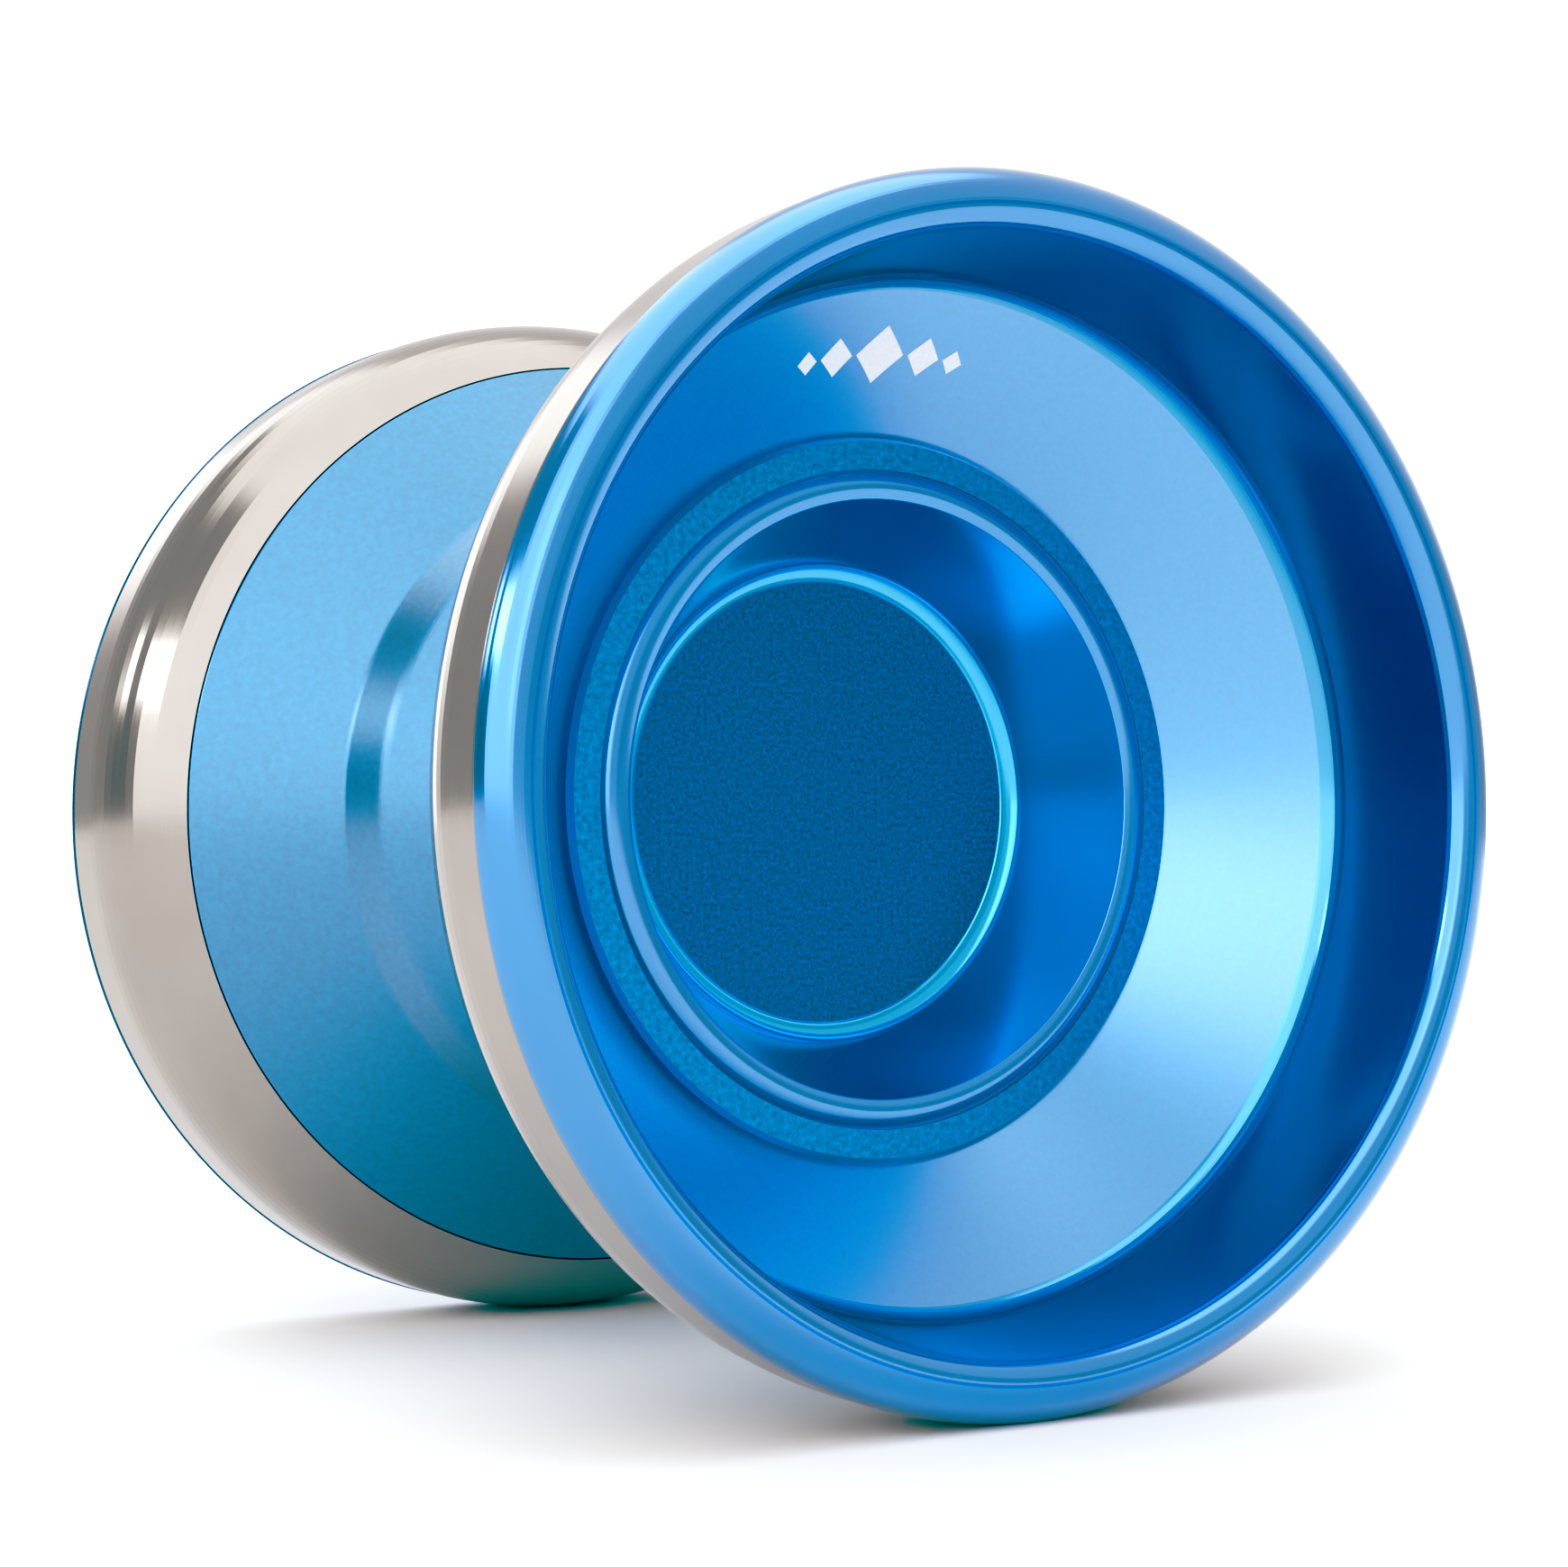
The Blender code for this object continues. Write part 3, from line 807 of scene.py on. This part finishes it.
def all_finishes():
    return {
        "machined": anodised("machined", 0.30, lines=0.004, spacing=0.12, brushed=0.5),
        "gap": anodised("gap_wall", 0.36, grains=0.016, grain_size=0.35, deep=GAP_DEEP,
                        light=GAP_LIGHT),
        "polished": anodised("polished", 0.17, lines=0.0004, brushed=0.2,
                             coat_ior=POLISHED_COAT_IOR),
        "land": anodised("land", 0.24, grains=0.004, grain_size=0.12, deep=LAND_DEEP,
                         light=LAND_LIGHT, coat=0.4),
        "wall": anodised("wall", 0.18, lines=0.0002, brushed=0.3, deep=WALL_DEEP, light=WALL_LIGHT),
        # Cone: dyed blue lifted lighter than the other zones, as painted light
        "cone": anodised("cone", 0.30, grains=0.003, grain_size=0.25, brushed=0.3, deep=CONE_BLUE_PAINTED_LIGHT_DEEP,
                         light=CONE_BLUE_PAINTED_LIGHT_PALE, coat_ior=SATIN_COAT_IOR),
        "ring": anodised("ring", 0.40, grains=0.03, grain_size=0.3, deep=BLASTED_DEEP,
                         light=BLASTED_LIGHT, coat=0.4),
        "recess": anodised("recess", 0.16, lines=0.0002, brushed=0.3, deep=RECESS_DEEP,
                           light=RECESS_LIGHT),
        "floor": anodised("floor", 0.42, grains=0.03, grain_size=0.2, deep=DISC_DEEP,
                          light=DISC_LIGHT, coat=0.4),
        "steel": steel("rim_steel", RIM_STEEL, 0.14, lines=0.0002, brushed=0.4),
        "bearing": steel("bearing_steel", BEARING_STEEL, 0.14, lines=0.0006, brushed=0.4),
        "sheet": steel("shield_steel", SHEET_STEEL, 0.26, lines=0.001, spacing=0.1, brushed=0.4),
        "cage": steel("cage_steel", CAGE_STEEL, 0.3, lines=0.001, spacing=0.1),
        "ball": steel("ball_steel", BALL_STEEL, 0.05),
        "black": steel("black_oxide_steel", BLACK_STEEL, 0.36, lines=0.001, spacing=0.08),
        "pad": silicone("silicone"),
        "mark": white_mark("white_mark"),
    }


# ------------------------------------------------------------------ pieces

def make_halves(finishes):
    for side, name in SIDES:
        body = name + "_half"
        stands_for(turned(name + "_half_shell", half_body_zones(), finishes, side),
                   name + "_half_body", body)
        stands_for(turned(name + "_steel_rim", rim_ring_zones(), finishes, side),
                   name + "_rim_ring", body)
        stands_for(turned(name + "_silicone_pad", pad_zones(), finishes, side),
                   name + "_response_pad", body)


def diamond(shape, middle, half_along, half_up):
    """Thin closed diamond that follows the cone, around its middle, in millimetres."""
    slope = math.atan2(CUP_CORNER[1] - CONE_FOOT[1], CUP_CORNER[0] - CONE_FOOT[0])
    layers = []
    for depth in (-MARK_DEPTH, MARK_DEPTH):
        rows = []
        for i in range(MARK_STEPS + 1):
            row = []
            for k in range(MARK_STEPS + 1):
                u, v = 2 * i / MARK_STEPS - 1, 2 * k / MARK_STEPS - 1
                along, up = middle + (u + v) / 2 * half_along, (u - v) / 2 * half_up
                angle = math.radians(MARK_MIDDLE_DEG) - along / MARK_RADIUS
                radius = MARK_RADIUS + up * math.cos(slope) - depth * math.sin(slope)
                height = (CONE_FOOT[1] + (MARK_RADIUS - CONE_FOOT[0]) * math.tan(slope)
                          + up * math.sin(slope) + depth * math.cos(slope))
                row.append(shape.verts.new((radius * math.cos(angle) * MM, FRONT * height * MM,
                                            radius * math.sin(angle) * MM)))
            rows.append(row)
        layers.append(rows)
    low, high = layers
    for i in range(MARK_STEPS):
        for k in range(MARK_STEPS):
            shape.faces.new((high[i][k], high[i + 1][k], high[i + 1][k + 1], high[i][k + 1]))
            shape.faces.new((low[i][k + 1], low[i + 1][k + 1], low[i + 1][k], low[i][k]))
    edge = [(i, 0) for i in range(MARK_STEPS)] + [(MARK_STEPS, k) for k in range(MARK_STEPS)]
    edge += [(MARK_STEPS - i, MARK_STEPS) for i in range(MARK_STEPS)]
    edge += [(0, MARK_STEPS - k) for k in range(MARK_STEPS)]
    for (i, k), (m, n) in zip(edge, edge[1:] + edge[:1]):
        shape.faces.new((low[i][k], low[m][n], high[m][n], high[i][k]))


def make_mark(finishes):
    """Plain row of diamonds on the cone of the front half, with the largest in the middle."""
    mesh = bpy.data.meshes.new("diamond_row")
    shape = bmesh.new()
    place = -sum(MARK_HALF_LENGTHS) - MARK_GAP * (len(MARK_HALF_LENGTHS) - 1) / 2
    for half in MARK_HALF_LENGTHS:
        diamond(shape, place + half, half, half * MARK_SLENDERNESS)
        place += 2 * half + MARK_GAP
    bmesh.ops.recalc_face_normals(shape, faces=shape.faces)
    shape.to_mesh(mesh)
    shape.free()
    mesh.materials.append(finishes["mark"])
    piece = shaded("diamond_row", mesh)
    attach(piece, "front_half")


def make_axle(finishes):
    """Set screw with a real helical thread and a hex socket in its front end."""
    segments = THREAD_SEGMENTS
    rows = math.ceil(2 * AXLE_END / THREAD_PITCH * THREAD_ROWS_PER_TURN)
    mesh = bpy.data.meshes.new("threaded_axle")
    vertices, faces = [], []
    for row in range(rows + 1):
        y = -AXLE_END + 2 * AXLE_END * row / rows
        limit = AXLE_RADIUS - max(0.0, AXLE_CHAMFER - (AXLE_END - abs(y)))
        for k in range(segments):
            phase = (y / THREAD_PITCH + k / segments) % 1.0
            flank = min(1.0, max(0.0, (abs(phase - 0.5) * 2 - THREAD_LAND) / (1 - 2 * THREAD_LAND)))
            radius = min(limit, AXLE_RADIUS - THREAD_DEPTH * (1 - flank))
            angle = 2 * math.pi * k / segments
            vertices.append((radius * math.cos(angle) * MM, y * MM, radius * math.sin(angle) * MM))
    for row in range(rows):
        for k in range(segments):
            a, b = row * segments + k, row * segments + (k + 1) % segments
            faces.append((a, a + segments, b + segments, b))
    faces.append(tuple(range(segments)))
    faces.append(tuple(reversed(range(rows * segments, (rows + 1) * segments))))
    mesh.from_pydata(vertices, [], faces)
    mesh.materials.append(finishes["black"])
    axle = shaded("threaded_axle", mesh)
    corners = HEX_ACROSS_FLATS / 2 / math.cos(math.pi / 6)
    place = Matrix.Translation((0, -AXLE_END * MM, 0)) @ Matrix.Rotation(math.pi / 2, 4, "X")
    cut(axle, [prism("hex_socket", 6, corners, 2 * HEX_DEPTH, place)])
    stands_for(axle, "axle_set_screw", "rear_half")


def make_snap_ring(name, side, finish):
    """Flat open ring with its gap at the top."""
    half_gap = math.asin(CLIP_OPENING / 2 / CLIP_OUTER)
    steps = SMALL_SEGMENTS
    outline = clip_outline()
    vertices, faces = [], []
    for i in range(steps + 1):
        angle = math.pi / 2 + half_gap + (2 * math.pi - 2 * half_gap) * i / steps
        for radius, height in outline:
            vertices.append((radius * math.cos(angle) * MM, side * height * MM,
                             radius * math.sin(angle) * MM))
    count = len(outline)
    for i in range(steps):
        for k in range(count):
            a, b = i * count + k, i * count + (k + 1) % count
            faces.append((a, b, b + count, a + count))
    faces.append(tuple(reversed(range(count))))
    faces.append(tuple(range(steps * count, (steps + 1) * count)))
    if side < 0:
        faces = [face[::-1] for face in faces]
    mesh = bpy.data.meshes.new(name)
    mesh.from_pydata(vertices, [], faces)
    mesh.materials.append(finish)
    return shaded(name, mesh)


def make_bearing(finishes):
    stands_for(turned("inner_race", inner_race_zones(), finishes, segments=SMALL_SEGMENTS),
               "bearing_inner_race", "bearing_inner")
    stands_for(turned("outer_race", outer_race_zones(), finishes, segments=TURN_SEGMENTS),
               "bearing_outer_race", "bearing_outer")
    for side, name in SIDES:
        stands_for(turned(name + "_shield", shield_zones(), finishes, side, SMALL_SEGMENTS),
                   name + "_bearing_shield", "bearing_outer")
        stands_for(make_snap_ring(name + "_snap_ring", side, finishes["sheet"]),
                   name + "_shield_snap_ring", "bearing_outer")


def ball_places():
    """Centre of each ball, taken from its CAD node."""
    places = []
    for i in range(BALL_COUNT):
        low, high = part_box("bearing_ball_%d" % (i + 1))
        places.append((low + high) / 2)
    return places


def make_cage(finishes):
    cage = turned("cage_ring", cage_zones(), finishes, segments=SMALL_SEGMENTS)
    pockets = []
    for i, place in enumerate(ball_places()):
        outwards = Vector((place.x, 0, place.z)).to_track_quat("Z", "Y").to_matrix().to_4x4()
        pockets.append(prism("pocket_%d" % i, CAGE_POCKET_SIDES, CAGE_POCKET_RADIUS,
                             2 * (CAGE_OUTER - CAGE_INNER), Matrix.Translation(place) @ outwards))
    cut(cage, pockets)
    stands_for(cage, "ball_cage", "cage")


def make_balls(finishes):
    for i, place in enumerate(ball_places()):
        name = "ball_%d" % (i + 1)
        mesh = bpy.data.meshes.new(name)
        shape = bmesh.new()
        bmesh.ops.create_icosphere(shape, subdivisions=4, radius=BALL_RADIUS * MM,
                                   matrix=Matrix.Translation(place))
        shape.to_mesh(mesh)
        shape.free()
        mesh.materials.append(finishes["ball"])
        stands_for(shaded("steel_" + name, mesh), "bearing_" + name, name)


# ------------------------------------------------------------------ studio

def make_floor():
    mesh = bpy.data.meshes.new("studio_floor")
    size, z = FLOOR_HALF_SIZE, cad_box[0][2]
    mesh.from_pydata([(-size, -size, z), (size, -size, z), (size, size, z), (-size, size, z)], [],
                     [(0, 1, 2, 3)])
    finish = Finish("studio_paper")
    finish.set(Base_Color=finish.blend(finish.spread(finish.grain(FLOOR_CLOUDS), 0.0, 1.0),
                                       PAPER_DEEP, PAPER_LIGHT),
               Roughness=0.9, Specular_IOR_Level=0.1)
    mesh.materials.append(finish.material)
    floor = bpy.data.objects.new("studio_floor", mesh)
    bpy.context.scene.collection.objects.link(floor)


def window(nodes, value, middle, half, edge):
    """1 within half of middle, falling smoothly to 0 over edge."""
    distance = nodes.maths("ABSOLUTE", nodes.maths("SUBTRACT", value, middle))
    made = nodes.add("MapRange", {"interpolation_type": "SMOOTHSTEP"}, Value=distance)
    made.inputs["From Min"].default_value = half
    made.inputs["From Max"].default_value = half + edge
    made.inputs["To Min"].default_value = 1.0
    made.inputs["To Max"].default_value = 0.0
    return made.outputs["Result"]


def mixed(nodes, first, second, share):
    """first, replaced by second as share goes from 0 to 1."""
    kept = nodes.maths("MULTIPLY", first, nodes.maths("SUBTRACT", 1.0, share))
    return nodes.maths("ADD", kept, nodes.maths("MULTIPLY", share, second))


def make_room():
    """Soft white room with a few darker walls; the camera itself sees plain white behind the floor."""
    world = bpy.data.worlds.new("studio")
    bpy.context.scene.world = world
    world.use_nodes = True
    nodes = Nodes(world.node_tree)
    background = nodes.tree.nodes["Background"]
    place = nodes.add("TexCoord").outputs["Generated"]
    x, y, z = nodes.add("SeparateXYZ", Vector=place).outputs
    azimuth = nodes.maths("DEGREES", nodes.maths("ARCTAN2", x, nodes.maths("MULTIPLY", y, -1.0)))
    elevation = nodes.maths("DEGREES", nodes.maths("ARCSINE", z))
    level = WALL_LEVEL
    for az, el, half_width, half_height, edge, radiance in ROOM_PATCHES:
        inside = nodes.maths("MULTIPLY", window(nodes, azimuth, az, half_width, edge),
                             window(nodes, elevation, el, half_height, edge))
        level = mixed(nodes, level, radiance, inside)
    seen = nodes.add("LightPath").outputs["Is Camera Ray"]
    background.inputs["Color"].default_value = (1.0, 1.0, 1.0, 1.0)
    nodes.put(background.inputs["Strength"], mixed(nodes, level, SEEN_LEVEL, seen))


def make_camera():
    data = bpy.data.cameras.new("camera")
    data.lens = CAMERA_LENS
    data.sensor_width = SENSOR_WIDTH
    data.clip_start = 0.01
    camera = bpy.data.objects.new("camera", data)
    camera.location = CAMERA_PLACE
    camera.rotation_euler = Vector(CAMERA_DIRECTION).to_track_quat("-Z", "Y").to_euler()
    bpy.context.scene.collection.objects.link(camera)
    bpy.context.scene.camera = camera


def set_contrast():
    """Standard view with more contrast in the dark tones, most of it in red."""
    view = bpy.context.scene.view_settings
    view.view_transform = "Standard"
    view.use_curve_mapping = True
    mapping = view.curve_mapping
    for curve, toe in ((COMMON_CURVE, COMMON_TOE), (RED_CURVE, RED_TOE)):
        for place, value in toe:
            mapping.curves[curve].points.new(place, value)
    mapping.update()


def main():
    set_contrast()
    finishes = all_finishes()
    make_camera()
    make_floor()
    make_room()
    make_halves(finishes)
    make_mark(finishes)
    make_axle(finishes)
    make_bearing(finishes)
    make_cage(finishes)
    make_balls(finishes)


main()
